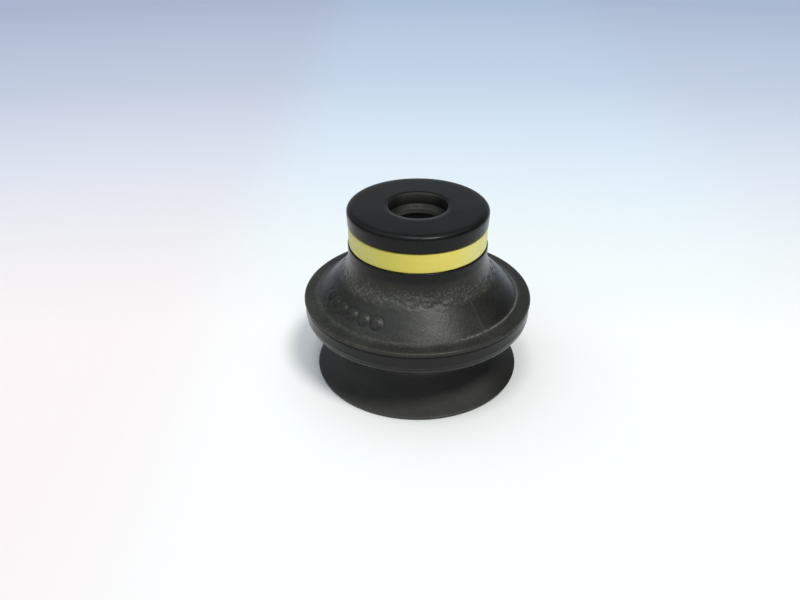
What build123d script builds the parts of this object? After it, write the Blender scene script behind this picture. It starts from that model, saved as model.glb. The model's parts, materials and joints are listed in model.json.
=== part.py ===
from build123d import *
from math import atan2, cos, tan
import os

# A one-and-a-half bellows suction cup, moulded in one piece of black rubber, with a
# coloured ring snapped into a groove of its neck. It stands on its lip: +Z runs up the
# cup's axis and the origin is the centre of the lip's sealing face. All sizes are in
# millimetres, and each radius is measured from that axis.

# ---- collar and neck, from the top down ----
cup_height = 26.65
collar_radius = 10.33
collar_height = 2.55
collar_draft = 0.13
collar_edge_chamfer = 0.3
ring_groove_height = 3.05
ring_groove_depth = 1.35
neck_radius = 10.25
groove_edge_chamfer = 0.12
neck_length = 3.4
neck_flare_rounding = 4.7

# ---- the fold: upper cone, rim and underside ----
fold_radius = 17.05
fold_height = 12.6
fold_corner_chamfer = 0.8
rim_flat_width = 1.95
rim_root_chamfer = 0.75
rim_edge_height = 0.5
rim_edge_overhang = 0.12
rim_edge_chamfer = 0.3
rim_band_height = 3.5
rim_band_draft = 0.07
rim_belly_rounding = 2.1

# ---- the waist below the fold, and the lip ----
waist_corner_radius = 9.3
waist_height = 4.5
waist_chamfer = 0.9
throat_chamfer = 1.2
lip_radius = 15.56
lip_edge_thickness = 0.4
lip_edge_rake = 0.12
lip_flare_sag = 0.55
lip_hollow_radius = 10.75
lip_hollow_height = 1.85
sealing_face_width = 0.5

# ---- walls between the outside and the air space ----
cone_wall = 1.5
underside_wall = 1.4
waist_wall = 1.9

# ---- socket for the fitting, from the mouth down ----
mouth_radius = 4.35
mouth_depth = 1.79
mouth_edge_chamfer = 0.2
lead_in_fall = 0.36
bead_radius = 3.5
bead_height = 0.9
bead_edge_chamfer = 0.2
flange_seat_radius = 5.6
flange_seat_height = 2.6
passage_radius = 4.35
passage_length = 3.6
passage_foot_chamfer = 0.8

# ---- the coloured ring ----
ring_recess = 0.13
ring_bore_clearance = 0.05
ring_top_clearance = 0.05
ring_edge_chamfer = 0.15


# Heights that follow from the stack above.
collar_bottom = cup_height - collar_height
groove_bottom = collar_bottom - ring_groove_height
shoulder_height = groove_bottom - neck_length
groove_radius = neck_radius - ring_groove_depth
mouth_bottom = cup_height - mouth_depth
bead_top = mouth_bottom - lead_in_fall
bead_bottom = bead_top - bead_height
flange_seat_bottom = bead_bottom - flange_seat_height
chamber_roof = flange_seat_bottom - passage_length

# The upper cone runs straight from the shoulder to the root of the rim.
rim_root_radius = fold_radius - rim_flat_width
cone_slope = atan2(shoulder_height - fold_height, rim_root_radius - neck_radius)

# The rim's edge overhangs its wall. The underside runs straight from the foot of that wall
# to the waist.
rim_edge_bottom = fold_height - rim_edge_height
rim_wall_radius = fold_radius - rim_edge_overhang
rim_foot_radius = rim_wall_radius - rim_band_draft
rim_foot_height = fold_height - rim_band_height
underside_slope = atan2(rim_foot_height - waist_height, rim_foot_radius - waist_corner_radius)

# The air space follows both cones, one wall inside them: inner_cone_drop and
# underside_rise are how far those walls move the two lines down and up.
inner_cone_drop = cone_wall / cos(cone_slope)
underside_rise = underside_wall / cos(underside_slope)
inner_cone_start = fold_height - inner_cone_drop
inner_floor_start = rim_foot_height + underside_rise
roof_corner_radius = rim_root_radius - (chamber_roof - inner_cone_start) / tan(cone_slope)
slope_sum = tan(cone_slope) + tan(underside_slope)
fold_corner_radius = (
    inner_cone_start
    - inner_floor_start
    + rim_root_radius * tan(cone_slope)
    + rim_foot_radius * tan(underside_slope)
) / slope_sum
fold_corner_height = inner_cone_start + (rim_root_radius - fold_corner_radius) * tan(cone_slope)

# The throat's corner lies on the inner wall of the underside, carried on past the waist.
throat_corner_radius = waist_corner_radius - waist_wall
throat_height = (
    inner_floor_start - (rim_foot_radius - throat_corner_radius) * tan(underside_slope)
)

# ---- the moulded cup ----
with BuildPart() as cup_body:
    with BuildSketch(Plane.XZ) as wall_section:
        collar_top_corner = (collar_radius, cup_height)
        collar_bottom_corner = (collar_radius - collar_draft, collar_bottom)
        neck_top_corner = (neck_radius, groove_bottom)
        shoulder_corner = (neck_radius, shoulder_height)
        rim_root_corner = (rim_root_radius, fold_height)
        rim_top_corner = (fold_radius, fold_height)
        rim_foot_corner = (rim_foot_radius, rim_foot_height)
        waist_corner = (waist_corner_radius, waist_height)
        lip_top_corner = (lip_radius, lip_edge_thickness)
        sealing_outer_corner = (lip_radius - lip_edge_rake, 0)
        sealing_inner_corner = (lip_radius - lip_edge_rake - sealing_face_width, 0)
        throat_corner = (throat_corner_radius, throat_height)
        fold_corner = (fold_corner_radius, fold_corner_height)
        passage_foot_corner = (passage_radius, chamber_roof)
        bead_bottom_corner = (bead_radius, bead_bottom)
        bead_top_corner = (bead_radius, bead_top)
        lead_in_corner = (mouth_radius, mouth_bottom)
        mouth_corner = (mouth_radius, cup_height)
        with BuildLine():
            Polyline(
                collar_top_corner,
                collar_bottom_corner,
                (groove_radius, collar_bottom),
                (groove_radius, groove_bottom),
                neck_top_corner,
                shoulder_corner,
                rim_root_corner,
                rim_top_corner,
                (fold_radius, rim_edge_bottom),
                (rim_wall_radius, rim_edge_bottom),
                rim_foot_corner,
                waist_corner,
            )
            SagittaArc(waist_corner, lip_top_corner, -lip_flare_sag)
            Polyline(lip_top_corner, sealing_outer_corner, sealing_inner_corner)
            Polyline(
                sealing_inner_corner,
                (lip_hollow_radius, lip_hollow_height),
                throat_corner,
                fold_corner,
                (roof_corner_radius, chamber_roof),
                passage_foot_corner,
                (passage_radius, flange_seat_bottom),
                (flange_seat_radius, flange_seat_bottom),
                (flange_seat_radius, bead_bottom),
                bead_bottom_corner,
                bead_top_corner,
                lead_in_corner,
                mouth_corner,
                collar_top_corner,
            )
        make_face()
        roundings = [
            (shoulder_corner, neck_flare_rounding),
            (rim_foot_corner, rim_belly_rounding),
        ]
        chamfers = [
            (collar_top_corner, collar_edge_chamfer),
            (collar_bottom_corner, groove_edge_chamfer),
            (neck_top_corner, groove_edge_chamfer),
            (rim_root_corner, rim_root_chamfer),
            (rim_top_corner, rim_edge_chamfer),
            (waist_corner, waist_chamfer),
            (throat_corner, throat_chamfer),
            (fold_corner, fold_corner_chamfer),
            (passage_foot_corner, passage_foot_chamfer),
            (bead_bottom_corner, bead_edge_chamfer),
            (mouth_corner, mouth_edge_chamfer),
        ]
        for corner, size in roundings:
            fillet(wall_section.vertices().sort_by_distance(corner)[0], size)
        for corner, size in chamfers:
            chamfer(wall_section.vertices().sort_by_distance(corner)[0], size)
    revolve(axis=Axis.Z)
cup_body.part.label = "cup_body"

# ---- the coloured ring, seated on the foot of its groove ----
ring_bore_radius = groove_radius + ring_bore_clearance
ring_thickness = neck_radius - ring_recess - ring_bore_radius
ring_height = ring_groove_height - ring_top_clearance
with BuildPart() as colour_ring:
    with BuildSketch(Plane.XZ) as ring_section:
        with Locations((ring_bore_radius, groove_bottom)):
            Rectangle(ring_thickness, ring_height, align=(Align.MIN, Align.MIN))
        chamfer(ring_section.vertices().group_by(Axis.X)[-1], ring_edge_chamfer)
    revolve(axis=Axis.Z)
colour_ring.part.label = "colour_ring"

os.makedirs("parts", exist_ok=True)
export_step(cup_body.part, "parts/cup_body.step")
export_step(colour_ring.part, "parts/colour_ring.step")
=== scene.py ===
import json

import bpy
import numpy as np
from mathutils import Matrix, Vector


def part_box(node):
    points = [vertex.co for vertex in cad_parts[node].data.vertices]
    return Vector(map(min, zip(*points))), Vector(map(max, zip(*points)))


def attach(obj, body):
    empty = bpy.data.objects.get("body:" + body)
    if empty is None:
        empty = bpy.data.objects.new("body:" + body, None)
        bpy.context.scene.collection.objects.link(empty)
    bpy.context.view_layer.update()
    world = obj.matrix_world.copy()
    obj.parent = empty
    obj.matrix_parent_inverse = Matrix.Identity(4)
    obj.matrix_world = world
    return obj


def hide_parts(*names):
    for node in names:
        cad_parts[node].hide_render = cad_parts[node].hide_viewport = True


# A bellows suction cup of black rubber, with a yellow ring snapped into its neck. It stands on
# its lip. Lengths are written in millimetres and made metres where they enter a mesh.
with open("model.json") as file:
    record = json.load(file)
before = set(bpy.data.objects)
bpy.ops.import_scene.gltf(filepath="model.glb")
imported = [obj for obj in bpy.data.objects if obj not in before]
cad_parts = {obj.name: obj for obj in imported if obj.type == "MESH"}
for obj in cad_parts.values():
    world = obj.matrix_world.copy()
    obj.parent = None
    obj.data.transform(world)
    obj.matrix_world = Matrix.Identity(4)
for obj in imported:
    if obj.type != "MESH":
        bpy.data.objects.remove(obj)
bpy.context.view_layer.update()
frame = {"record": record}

# ---- The moulded cup ----
# One moulding of soft black rubber: collar and neck with the fitting's socket, one fold, and a
# thin flared lip. Two mould halves meet along the fold's rim and up both sides of the cone, and
# the mould is rougher where the cone meets the neck.
MM = 0.001
mounts = {mount["name"]: mount["dims"] for mount in frame["record"]["mounts"] if mount["dims"]}
cup_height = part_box("cup_body")[1].z / MM
mouth_radius = mounts["neck_mouth"]["r_mm"]
mouth_floor = cup_height - mounts["neck_mouth"]["length_mm"]
bead_radius = mounts["neck_bead"]["r_mm"]
lead_in_fall = 0.36
bead_top = mouth_floor - lead_in_fall
bead_floor = bead_top - mounts["neck_bead"]["length_mm"]
ring_low, ring_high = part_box("colour_ring")
groove_floor = ring_low.z / MM
ring_play = 0.05
groove_ceiling = ring_high.z / MM + ring_play
groove_radius = 8.9
collar_radius, collar_draft = 10.33, 0.13
neck_radius = 10.25
shoulder_height = 17.65
rim_root_radius, fold_height = 15.1, 12.6
fold_radius, rim_edge_height, rim_setback = 17.05, 0.5, 0.12
rim_edge_foot = fold_height - rim_edge_height
crease_depth, crease_drop, crease_run = 0.12, 0.06, 0.4
rim_foot_radius, rim_foot_height = 16.86, 9.1
waist_radius, waist_height = 9.3, 4.5
flare_radius, flare_height = 11.82, 1.51
lip_radius, lip_thickness = 15.56, 0.4
lip_foot_radius, lip_land_radius = 15.44, 14.94
hollow_radius, hollow_height = 10.75, 1.85
throat_radius, throat_height = 7.4, 4.98
chamber_radius, chamber_height = 15.56, 9.95
roof_radius, roof_height = 8.42, 17.4
passage_radius = 4.35
seat_radius, seat_floor = 5.6, 21.0

# The half-section, clockwise from the mouth: each corner's radius and height, its rounding,
# and the rows of points on the rounding and on the straight run that follows it.
cup_corners = [
    (mouth_radius, cup_height, 0.06, 3, 6),
    (collar_radius, cup_height, 0.65, 7, 5),
    (collar_radius - collar_draft, groove_ceiling, 0.15, 3, 2),
    (groove_radius, groove_ceiling, 0, 1, 1),
    (groove_radius, groove_floor, 0, 1, 1),
    (neck_radius, groove_floor, 0.15, 3, 4),
    (neck_radius, shoulder_height, 4.7, 24, 34),
    (rim_root_radius, fold_height, 1.6, 8, 2),
    (fold_radius, fold_height, 0.35, 6, 1),
    (fold_radius, rim_edge_foot, 0.1, 3, 1),
    (fold_radius - rim_setback - crease_depth, rim_edge_foot - crease_drop, 0.06, 3, 1),
    (fold_radius - rim_setback, rim_edge_foot - crease_run, 0.3, 3, 9),
    (rim_foot_radius, rim_foot_height, 2.1, 14, 6),
    (waist_radius, waist_height, 1.1, 9, 1),
    (flare_radius, flare_height, 8.2, 10, 4),
    (lip_radius, lip_thickness, 0.12, 3, 1),
    (lip_foot_radius, 0, 0.08, 2, 1),
    (lip_land_radius, 0, 0.3, 2, 2),
    (hollow_radius, hollow_height, 9.0, 5, 2),
    (throat_radius, throat_height, 1.4, 4, 2),
    (chamber_radius, chamber_height, 1.0, 4, 2),
    (roof_radius, roof_height, 1.0, 3, 3),
    (passage_radius, roof_height, 0.8, 3, 3),
    (passage_radius, seat_floor, 0, 1, 1),
    (seat_radius, seat_floor, 0, 1, 1),
    (seat_radius, bead_floor, 0, 1, 1),
    (bead_radius, bead_floor, 0.2, 3, 2),
    (bead_radius, bead_top, 0.1, 3, 2),
    (mouth_radius, mouth_floor, 0.1, 3, 3),
]


def section_rows(corners):
    """Closed section line as rows of (radius, height). A corner of turning angle a and rounding r
    is cut back by r * tan(a / 2) on both sides and joined there by an arc, whose points are the
    centre minus r times the corner's two side normals, turned from one to the other."""
    at = np.array([corner[:2] for corner in corners], float)
    ahead = np.roll(at, -1, axis=0) - at
    ahead /= np.linalg.norm(ahead, axis=1)[:, None]
    behind = np.roll(ahead, 1, axis=0)
    turn = np.arctan2(behind[:, 0] * ahead[:, 1] - behind[:, 1] * ahead[:, 0], (behind * ahead).sum(1))
    rounding = np.array([corner[2] for corner in corners], float)
    cut = rounding * np.tan(np.abs(turn) / 2)
    arc_start, arc_end = at - behind * cut[:, None], at + ahead * cut[:, None]
    rows = []
    for i, (_, _, radius, arc_rows, run_rows) in enumerate(corners):
        side = np.sign(turn[i]) * np.array([-behind[i, 1], behind[i, 0]])
        centre = arc_start[i] + radius * side
        share = np.linspace(0, 1, arc_rows)[:, None]
        angle = turn[i] * share
        spoke = arc_start[i] - centre
        across = np.array([-spoke[1], spoke[0]])
        rows.append(centre + spoke * np.cos(angle) + across * np.sin(angle) if radius else at[i : i + 1])
        run_end = arc_start[(i + 1) % len(corners)]
        share = np.linspace(0, 1, run_rows + 2)[1:-1, None]
        rows.append(arc_end[i] + (run_end - arc_end[i]) * share)
    return np.concatenate(rows)


def section_normals(rows):
    """Unit normals of a closed section line: the step from the row before to the row after,
    turned by a quarter so that it points out of the wall."""
    step = np.roll(rows, -1, axis=0) - np.roll(rows, 1, axis=0)
    normal = np.stack([-step[:, 1], step[:, 0]], axis=1)
    return normal / np.linalg.norm(normal, axis=1)[:, None]


def lumps(seed, rows, columns, cells_round, cell_rows):
    """Smooth random heights from -1 to 1 on a grid that closes on itself round the cup: a coarse
    grid of random numbers, blended between its points with the curve 3t^2 - 2t^3."""
    coarse = np.random.default_rng(seed).uniform(-1, 1, (int(rows / cell_rows) + 2, cells_round))
    down = np.arange(rows)[:, None] / cell_rows
    along = np.arange(columns)[None, :] * cells_round / columns
    row, column = down.astype(int), along.astype(int)
    t, s = down - row, along - column
    t, s = t * t * (3 - 2 * t), s * s * (3 - 2 * s)
    following = (column + 1) % cells_round
    upper = coarse[row, column] * (1 - s) + coarse[row, following] * s
    lower = coarse[row + 1, column] * (1 - s) + coarse[row + 1, following] * s
    return upper * (1 - t) + lower * t


def turned_mesh(name, radius, height, azimuth):
    """A closed solid of revolution: point (i, j) lies at radius and height (i, j), turned by
    azimuth (i, j). Rows and columns both close on themselves."""
    points = np.stack([radius * np.cos(azimuth), radius * np.sin(azimuth), height], axis=-1) * MM
    rows, columns = radius.shape
    index = np.arange(rows * columns).reshape(rows, columns)
    below, beside = np.roll(index, -1, axis=0), np.roll(index, -1, axis=1)
    quads = np.stack([index, below, np.roll(below, -1, axis=1), beside], axis=-1).reshape(-1, 4)
    mesh = bpy.data.meshes.new(name)
    mesh.from_pydata(points.reshape(-1, 3), [], quads)
    mesh.polygons.foreach_set("use_smooth", np.ones(len(quads), bool))
    piece = bpy.data.objects.new(name, mesh)
    bpy.context.scene.collection.objects.link(piece)
    return piece


cup_columns = 416
cup_rows = section_rows(cup_corners)
cup_normals = section_normals(cup_rows)
radius, height = cup_rows[:, :1], cup_rows[:, 1:]
azimuth = np.linspace(-np.pi, np.pi, cup_columns, endpoint=False)[None, :]
cup_shape = (len(cup_rows), cup_columns)


def near(value, middle, width):
    """A bell curve, e to the power of minus ((value - middle) / width) squared."""
    return np.exp(-(((value - middle) / width) ** 2))


def azimuth_gap(middle):
    """Distance round the cup from an azimuth in degrees: the angle between, at most half a turn
    each way, times each row's radius."""
    return ((azimuth - np.radians(middle) + np.pi) % (2 * np.pi) - np.pi) * radius


# The rubber's face is never quite true: it wanders in and out by hundredths of a millimetre.
# proud is how far it stands out from the section line. The collar's top is the truest part.
wander, sink = 0.006, 0.01
proud = -sink + wander * np.sin(2 * azimuth + 0.7) + wander * np.sin(5 * azimuth + height / 3)
proud = proud + wander * lumps(3, *cup_shape, 60, 6) * (height < cup_height - 0.1)

# A pitted ring where the cone meets the neck.
pitted_radius, pitted_height, pit_depth = 11.05, 17.0, 0.08
outside = near(radius, pitted_radius, 0.7) * near(height, pitted_height, 0.75)
pits = lumps(11, *cup_shape, 170, 2.6) + 0.7 * lumps(12, *cup_shape, 105, 4)
proud = proud + pit_depth * outside * pits

# Where the mould parts: a rough line of flash round the foot of the rim, with a groove and a
# low swell above it, and a faint line up both sides of the cone.
parting_azimuth, parting_rise, parting_width = -49.5, 0.07, 0.16
flash_height, flash_rise, flash_width = 9.55, 0.05, 0.17
nick_height, nick_depth, nick_width = 9.88, 0.04, 0.16
swell_height, swell_rise, swell_width = 10.25, 0.03, 0.2
rim_wall = near(radius, fold_radius, 0.6)
raggedness = 0.6 + 0.4 * lumps(21, 1, cup_columns, 90, 1)
proud = proud + flash_rise * rim_wall * near(height, flash_height, flash_width) * raggedness
proud = proud - nick_depth * rim_wall * near(height, nick_height, nick_width)
proud = proud + swell_rise * rim_wall * near(height, swell_height, swell_width)
cone_face = (height > fold_height) & (height < shoulder_height) & (radius > neck_radius - 0.1)
cone_face = cone_face & (cup_normals[:, 1:] > 0)
for middle in (parting_azimuth, parting_azimuth + 180):
    proud = proud + parting_rise * cone_face * near(azimuth_gap(middle), 0, parting_width)

# Low round pips on the cone tell the rubber's grade by touch. Each stands in a shallow moat.
pip_azimuths = np.linspace(-160, -115, 6)
pip_height, pip_size, pip_rise, pip_softness = 14.3, 0.78, 0.24, 0.055
moat_gap, moat_depth, moat_width = 0.25, 0.07, 0.14
slope_length = np.hypot(rim_root_radius - neck_radius, shoulder_height - fold_height)
slope_stretch = slope_length / (shoulder_height - fold_height)
for middle in pip_azimuths:
    away = np.hypot(azimuth_gap(middle), (height - pip_height) * slope_stretch)
    pip = (1 - np.tanh((away - pip_size) / pip_softness / 2)) / 2
    proud = proud + pip_rise * cone_face * pip
    proud = proud - moat_depth * cone_face * near(away, pip_size + moat_gap, moat_width)

# Nothing stands out past the rim's edge, the collar's top or the floor.
cup_radius = np.minimum(radius + cup_normals[:, :1] * proud, fold_radius - 0.01)
cup_heights = np.clip(height + cup_normals[:, 1:] * proud, 0, cup_height)
cup_body = turned_mesh("moulded_cup", cup_radius, cup_heights, azimuth + 0 * radius)


class Shade:
    """A socket of a material's nodes. Sums, differences and products with it add Math nodes."""

    def __init__(self, tree, socket=None):
        self.tree, self.socket = tree, socket

    def node(self, kind, settings=None, inputs=None, output=0):
        """Adds a node of any kind, sets it up, then fills or links its sockets."""
        made = self.tree.nodes.new(kind)
        for name, value in (settings or {}).items():
            if name == "stops":
                for place, colour in value[len(made.color_ramp.elements) :]:
                    made.color_ramp.elements.new(place)
                for element, (place, colour) in zip(made.color_ramp.elements, value):
                    element.position, element.color = place, colour
            else:
                setattr(made, name, value)
        for name, value in (inputs or {}).items():
            if isinstance(value, Shade):
                self.tree.links.new(value.socket, made.inputs[name])
            else:
                made.inputs[name].default_value = value
        return Shade(self.tree, made.outputs[output] if made.outputs else None)

    def math(self, operation, *values):
        """A Math node on the values, in their order."""
        return self.node("ShaderNodeMath", {"operation": operation}, dict(enumerate(values)))

    def mix(self, dark, light):
        """Colour that goes from dark to light as this socket goes from 0 to 1."""
        return self.node("ShaderNodeMix", {"data_type": "RGBA"}, {0: self, 6: dark, 7: light}, 2)

    def ramp(self, low, high):
        """0 below low, 1 above high, smooth between."""
        settings = {"interpolation_type": "SMOOTHSTEP"}
        return self.node("ShaderNodeMapRange", settings, {0: self, 1: low, 2: high})

    def band(self, rise, full, fade, end):
        """Climbs from 0 at rise to 1 at full, then falls from 1 at fade to 0 at end."""
        return self.ramp(rise, full) - self.ramp(fade, end)

    def __add__(self, other):
        return self.math("ADD", self, other)

    def __mul__(self, other):
        return self.math("MULTIPLY", self, other)

    def __sub__(self, other):
        return self.math("SUBTRACT", self, other)

    def __rsub__(self, other):
        return self.math("SUBTRACT", other, self)

    __radd__, __rmul__ = __add__, __mul__


def finish_tree(name):
    """A new material with an empty node tree, and a Shade that adds nodes to it."""
    material = bpy.data.materials.new(name)
    material.use_nodes = True
    material.node_tree.nodes.clear()
    return material, Shade(material.node_tree)


def noise(tree, place, size, detail=2.0, roughness=0.5):
    """Cloudy noise from 0 to 1 whose lumps are about size millimetres across."""
    inputs = {"Vector": place, "Scale": 1 / (size * MM), "Detail": detail, "Roughness": roughness}
    return tree.node("ShaderNodeTexNoise", None, inputs)


# Satin black rubber: nearly black, with a fine even grain. A grey bloom lies on it, most of all
# on the lip and its flare, on the rim's edge and on the pitted ring. That bloom is partly painted
# light: it lifts the lip's shade under the fold, makes a painted highlight along the rim's top
# edge and a painted reflection up both sides of the neck's flare.
rubber_black = (0.008, 0.008, 0.008, 1)
rubber_bloom_and_painted_light = (0.07, 0.07, 0.057, 1)
lip_bloom_and_painted_light = (0.088, 0.086, 0.08, 1)
# Pale grey for the painted highlight along the rim's root.
painted_corner_highlight = (0.15, 0.15, 0.13, 1)
# Pale grey for spots on the pitted ring, partly the rough rubber's grey and partly painted glints.
pit_grey_and_painted_glints = (0.16, 0.16, 0.145, 1)

# Colours inside the socket, which are painted light and shade, and amounts of bloom outside,
# partly painted light, each with its height above the floor.
inside_painted_light_stops = [
    (seat_floor - 0.4, (0.01, 0.01, 0.01, 1)),
    (seat_floor - 0.1, (0.22, 0.22, 0.2, 1)),
    (bead_floor, (0.22, 0.22, 0.2, 1)),
    (bead_floor + 0.08, (0.14, 0.14, 0.128, 1)),
    (bead_top - 0.08, (0.08, 0.079, 0.072, 1)),
    (bead_top, (0.036, 0.034, 0.031, 1)),
    (mouth_floor, (0.036, 0.034, 0.031, 1)),
    (mouth_floor + 0.25, (0.02, 0.019, 0.017, 1)),
    (cup_height, (0.1, 0.094, 0.084, 1)),
]
# Much of the bloom is painted light: high on the lip up to its waist, where it lifts the shade under the
# fold; a peak at the rim's top edge, a painted highlight; and high from the pitted ring up the neck's
# flare, partly painted glints and painted reflection.
bloom_and_painted_light_stops = [
    (lip_thickness, 0.8),
    (1.5, 1.0),
    (2.5, 0.85),
    (4.5, 0.95),
    (6.5, 0.22),
    (9.5, 0.12),
    (fold_height - 0.6, 0.15),
    (fold_height - 0.2, 0.65),
    (fold_height + 0.9, 0.25),
    (15.9, 0.25),
    (16.7, 0.72),
    (17.7, 0.68),
    (19.0, 0.35),
    (19.7, 0.05),
    (groove_floor - 0.6, 0.02),
    (cup_height, 0.02),
]
black_rubber, tree = finish_tree("satin_black_rubber")
place = tree.node("ShaderNodeTexCoord", output=3)
level = tree.node("ShaderNodeSeparateXYZ", None, {0: place}, 2) * (1 / (cup_height * MM))
east, north = (tree.node("ShaderNodeSeparateXYZ", None, {0: place}, axis) for axis in range(2))
out = tree.math("SQRT", east * east + north * north) * (1 / MM)
east, front, up = east * (1 / MM), 0 - north * (1 / MM), level * cup_height
sideways = tree.math("ABSOLUTE", east)
patches = noise(tree, place, 3.0, 3.0).ramp(0.35, 0.68)
grain = noise(tree, place, 0.35, 3.0, 0.6)
speckle = noise(tree, place, 0.16, 1.0)

# Masks for the places that differ: all above the rim, all below it, the cone, the rim's flat
# top, its smooth edge and its root, which carries a painted highlight, and the pitted ring.
# Lengths are in millimetres.
above = up.ramp(fold_height - 1.5, fold_height)
below_rim = 1 - up.ramp(fold_height - 0.5, fold_height - 0.1)
on_cone = up.ramp(fold_height + 0.2, fold_height + 0.6)
flat = out.band(rim_root_radius + 0.1, rim_root_radius + 0.4, fold_radius - 0.4, fold_radius - 0.2)
flat = flat * up.ramp(fold_height - 0.6, fold_height - 0.3)
smooth_edge = out.ramp(fold_radius - 0.55, fold_radius - 0.35)
painted_corner_highlight_line = out.band(
    rim_root_radius - 0.3, rim_root_radius - 0.15, rim_root_radius - 0.1, rim_root_radius + 0.05
)
painted_corner_highlight_line = painted_corner_highlight_line * up.ramp(fold_height - 0.5, fold_height - 0.2)
# The root's painted highlight is grainy and strongest on the right.
painted_corner_highlight_line = painted_corner_highlight_line * (0.15 + east.ramp(4.0, 9.0) * 0.85) * grain.ramp(0.3, 0.6)
pitted = up.band(pitted_height - 1.1, pitted_height - 0.3, pitted_height + 0.9, pitted_height + 1.7)
pitted = pitted * out.ramp(neck_radius - 0.35, neck_radius - 0.05)

# The socket's inside: the mouth, and the seat that is wider than the mouth. Its colours are
# painted light and shade: pale in the seat and on the bead, darkest just above the mouth's floor,
# lighter towards the mouth's top, and above the bead darker on the left and right.
socket = 1 - out.ramp(mouth_radius + 0.02, mouth_radius + 0.1)
seat = up.band(seat_floor - 0.4, seat_floor - 0.1, bead_floor, bead_floor + 0.3)
seat = seat * (1 - out.ramp(seat_radius + 0.2, seat_radius + 0.4))
socket = tree.math("MAXIMUM", socket, seat)
stops = [(at / cup_height, colour) for at, colour in inside_painted_light_stops]
inside_with_painted_light = tree.node("ShaderNodeValToRGB", {"stops": stops}, {0: level})
# Painted shade on the mouth's wall at left and right.
painted_side_shade = sideways.ramp(1.8, 3.6) * up.ramp(bead_top - 0.2, bead_top)
inside_with_painted_light = (painted_side_shade * 0.7).mix(inside_with_painted_light, rubber_black)

# The bloom is cloudy, is thinner on the rim's flat top, and stays out of the socket. Its
# thinning on the right, most below the rim and on the cone, is painted shade.
stops = [(at / cup_height, (amount, amount, amount, 1)) for at, amount in bloom_and_painted_light_stops]
bloom_and_painted_light = tree.node("ShaderNodeValToRGB", {"stops": stops}, {0: level})
bloom_and_painted_light = bloom_and_painted_light * (1 - flat * 0.3) * (1 - socket)
bloom_and_painted_light = bloom_and_painted_light * (1 - east.ramp(8.0, 14.0) * (below_rim * 0.4 + on_cone * 0.4 + 0.3))
clouds = (patches - 0.5) * (0.1 + above * 0.25) + grain.ramp(0.42, 0.68) * (0.1 + above * 0.4)
bloom_and_painted_light = bloom_and_painted_light * (0.87 + clouds)
skin = bloom_and_painted_light.mix(rubber_black, above.mix(lip_bloom_and_painted_light, rubber_bloom_and_painted_light))
# Painted highlight along the rim's root.
skin = painted_corner_highlight_line.mix(skin, painted_corner_highlight)
# Pale spots on the pitted ring: partly the rough rubber's grey, partly painted glints.
skin = (pitted * grain.ramp(0.52, 0.7) * 0.5).mix(skin, pit_grey_and_painted_glints)

# The front of the cone and both sides of the neck's flare shine a little more.
cone_sheen = up.band(fold_height + 0.2, fold_height + 0.9, shoulder_height - 0.5, shoulder_height + 0.8)
cone_sheen = cone_sheen * front.ramp(6.0, 12.5)
flare_sheen = up.band(pitted_height - 0.5, pitted_height + 0.5, pitted_height + 2, pitted_height + 2.8)
flare_sheen = flare_sheen * sideways.ramp(7.5, 10.0)
grain_height = (grain + speckle * 0.6) * (0.05 + above * 0.08 + bloom_and_painted_light * above * (1 - smooth_edge * 0.85))
bump = tree.node("ShaderNodeBump", None, {"Strength": 1.0, "Distance": 0.06 * MM, "Height": grain_height})
rubber = tree.node(
    "ShaderNodeBsdfPrincipled",
    None,
    {
        "Base Color": socket.mix(skin, inside_with_painted_light),
        "Roughness": 0.21 + patches * 0.05 + bloom_and_painted_light.ramp(0.02, 0.25) * 0.08,
        "Specular IOR Level": 0.175,
        "Coat Weight": cone_sheen * 0.57 + flare_sheen * 0.6,
        "Coat Roughness": 0.46,
        "Normal": bump,
    },
)
tree.node("ShaderNodeOutputMaterial", None, {"Surface": rubber})
cup_body.data.materials.append(black_rubber)

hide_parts("cup_body")
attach(cup_body, "root")

# ---- The colour ring ----
# A soft yellow rubber band that tells the cup's grade. It is stretched over the collar and
# snaps into the groove of the neck, so its face bulges a little.
ring_inner, ring_outer = 8.95, ring_high.x / MM
ring_bottom, ring_top = ring_low.z / MM, ring_high.z / MM
ring_bulge, ring_wave = 0.03, 0.004
ring_corners = [
    (ring_inner, ring_bottom, 0, 1, 2),
    (ring_inner, ring_top, 0, 1, 3),
    (ring_outer, ring_top, 0.2, 5, 14),
    (ring_outer, ring_bottom, 0.2, 5, 3),
]
ring_columns = 360
ring_rows = section_rows(ring_corners)
ring_normals = section_normals(ring_rows)
radius, height = ring_rows[:, :1], ring_rows[:, 1:]
azimuth = np.linspace(-np.pi, np.pi, ring_columns, endpoint=False)[None, :]
rounded = 1 - ((height - (ring_bottom + ring_top) / 2) / (ring_top - ring_bottom) * 2) ** 2
face = radius > ring_outer - 0.3
waves = lumps(31, len(ring_rows), ring_columns, 40, 5) - 1
proud = face * (ring_bulge * (rounded - 1) + ring_wave * waves)
ring_radius, ring_heights = radius + ring_normals[:, :1] * proud, height + ring_normals[:, 1:] * proud
ring_piece = turned_mesh("yellow_ring", ring_radius, ring_heights, azimuth + 0 * radius)

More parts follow.
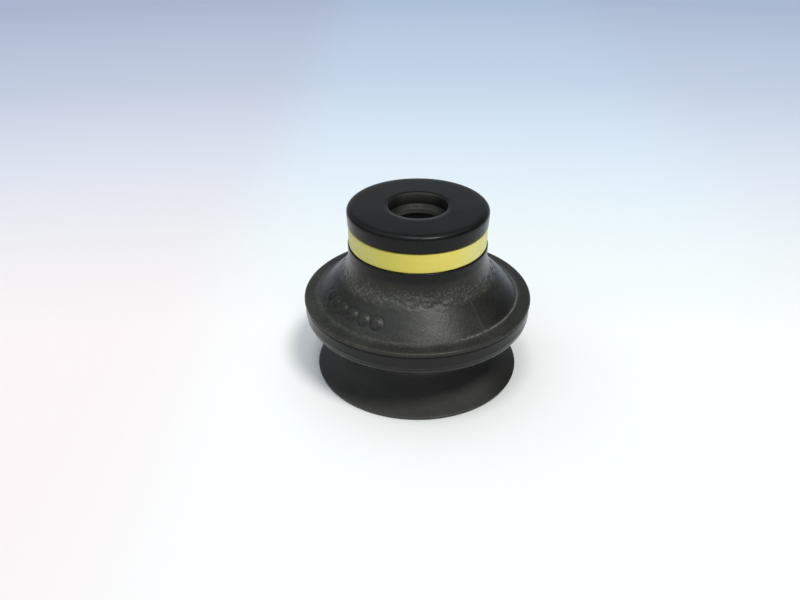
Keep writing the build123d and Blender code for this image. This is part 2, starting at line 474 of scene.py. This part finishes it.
# Satin yellow rubber with painted light in its colour: brighter towards the right as painted
# lamplight, and paler at both sides as a painted sheen.
ring_stops_with_painted_light = [
    (0.08, (0.74, 0.70, 0.19, 1)),
    (0.28, (0.74, 0.66, 0.10, 1)),
    (0.5, (0.86, 0.74, 0.12, 1)),
    (0.75, (0.95, 0.81, 0.15, 1)),
    (0.9, (0.93, 0.86, 0.28, 1)),
]
yellow_rubber, tree = finish_tree("satin_yellow_rubber")
place = tree.node("ShaderNodeTexCoord", output=3)
mottle = noise(tree, place, 1.2, 3.0)
across = tree.node("ShaderNodeSeparateXYZ", None, {0: place}, 0) * (1 / ring_high.x / 2) + 0.5
yellow = tree.node("ShaderNodeValToRGB", {"stops": ring_stops_with_painted_light}, {0: across + mottle * 0.16 - 0.08})
grain = noise(tree, place, 0.2, 2.0)
bump = tree.node("ShaderNodeBump", None, {"Strength": 0.6, "Distance": 0.006 * MM, "Height": grain})
rubber = tree.node(
    "ShaderNodeBsdfPrincipled",
    None,
    {"Base Color": yellow, "Roughness": 0.42 + mottle * 0.1, "Normal": bump},
)
tree.node("ShaderNodeOutputMaterial", None, {"Surface": rubber})
ring_piece.data.materials.append(yellow_rubber)

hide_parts("colour_ring")
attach(ring_piece, "root")

# ---- Floor ----
# A plain sheet that is warm white under the cup and turns pale blue with distance, as a
# studio sweep does. From here on, lengths are in metres.
floor_half, floor_height = 3.0, -0.05 * MM
corners = [(x * floor_half, y * floor_half, floor_height) for x, y in ((-1, -1), (1, -1), (1, 1), (-1, 1))]
sheet = bpy.data.meshes.new("floor")
sheet.from_pydata(corners, [], [(0, 1, 2, 3)])
floor = bpy.data.objects.new("floor", sheet)
bpy.context.scene.collection.objects.link(floor)
floor_paper, tree = finish_tree("floor_paper")
place = tree.node("ShaderNodeTexCoord", output=3)
across = tree.node("ShaderNodeSeparateXYZ", None, {0: place}, 0)
behind = tree.node("ShaderNodeSeparateXYZ", None, {0: place}, 1)
sweep_end = 0.28
sweep = [
    (0.01, (0.985, 0.985, 0.98, 1)),
    (0.041, (0.885, 0.93, 0.94, 1)),
    (0.084, (0.745, 0.825, 0.915, 1)),
    (0.152, (0.558, 0.655, 0.785, 1)),
    (sweep_end, (0.412, 0.50, 0.655, 1)),
]
stops = [(at / sweep_end, colour) for at, colour in sweep]
depth = (behind + across * across) * (1 / sweep_end)
paper = tree.node("ShaderNodeValToRGB", {"stops": stops}, {0: depth})
# It has a faint pink blush on both sides.
side = (0 - across).ramp(0.02, 0.05) + across.ramp(0.05, 0.09) * 0.6
blush = {"data_type": "RGBA", "blend_type": "MULTIPLY"}
paper = tree.node("ShaderNodeMix", blush, {0: side, 6: paper, 7: (1, 0.91, 0.92, 1)}, 2)
matt = tree.node("ShaderNodeBsdfDiffuse", None, {"Color": paper})
tree.node("ShaderNodeOutputMaterial", None, {"Surface": matt})
sheet.materials.append(floor_paper)

# ---- Light ----
# A large soft lamp high in front on the right, a weaker one almost overhead, and a room that is
# brightest overhead, dimmer in front and on the left, and dark low down except behind the cup.
# Each lamp has a name, an azimuth, an elevation and a spread in degrees, a strength and a colour.
lamps = [
    ("key_light", -53, 63, 15, 1.42, (1, 1, 0.93)),
    ("fill_light", -115, 82, 14, 0.5, (1, 1, 1)),
]
for name, azimuth, elevation, size, energy, colour in lamps:
    lamp = bpy.data.objects.new(name, bpy.data.lights.new(name, "SUN"))
    lamp.data.energy = energy
    lamp.data.color = colour
    lamp.data.angle = np.radians(size)
    turned = Matrix.Rotation(np.radians(azimuth + 90), 4, "Z")
    lamp.matrix_world = turned @ Matrix.Rotation(np.radians(90 - elevation), 4, "X")
    bpy.context.scene.collection.objects.link(lamp)

front_glow, left_glow, back_glow, ceiling_glow = 0.5, 0.6, 0.655, 0.82
room = bpy.data.worlds.new("room")
room.use_nodes = True
room.node_tree.nodes.clear()
tree = Shade(room.node_tree)
direction = tree.node("ShaderNodeTexCoord")
east, north, up = (tree.node("ShaderNodeSeparateXYZ", None, {0: direction}, axis) for axis in range(3))
spread = east * east + north * north + 0.0001
in_front, on_left = tree.math("MAXIMUM", 0 - north, 0.0), tree.math("MAXIMUM", 0 - east, 0.0)
at_back = tree.math("MAXIMUM", north, 0.0)
low, high = 1 - up.ramp(0.2, 0.6), up.ramp(0.6, 0.95)
middle = 1 - low - high
sides = (in_front * in_front * front_glow + on_left * on_left * left_glow) * middle
sides = sides + at_back * at_back * low * back_glow
glow = tree.math("DIVIDE", sides, spread) + high * ceiling_glow
background = tree.node("ShaderNodeBackground", None, {"Color": (0.91, 1, 1.08, 1), "Strength": glow})
backdrop = tree.node("ShaderNodeBackground", None, {"Color": (0.7, 0.79, 0.9, 1), "Strength": 1.0})

# Only the camera sees the pale backdrop. The cup is lit by the room.
seen = tree.node("ShaderNodeLightPath")
background = tree.node("ShaderNodeMixShader", None, {0: seen, 1: background, 2: backdrop})
tree.node("ShaderNodeOutputWorld", None, {"Surface": background})
bpy.context.scene.world = room

# ---- Camera ----
# It stands a hand's width in front of the cup, nearly three times as high as the cup, and
# looks down on it.
camera = bpy.data.objects.new("camera", bpy.data.cameras.new("camera"))
camera.data.lens = 36.494
camera.data.clip_start = 0.005
camera_front, camera_height = 0.105817, 0.075581
camera_pan, camera_tilt, camera_roll = np.radians((1.42, 58.508, -0.183))
aim = Matrix.Rotation(camera_pan, 4, "Z") @ Matrix.Rotation(camera_tilt, 4, "X")
aim = aim @ Matrix.Rotation(camera_roll, 4, "Z")
camera.matrix_world = Matrix.Translation((0, -camera_front, camera_height)) @ aim
bpy.context.scene.collection.objects.link(camera)
bpy.context.scene.camera = camera
bpy.context.scene.view_settings.view_transform = "Standard"
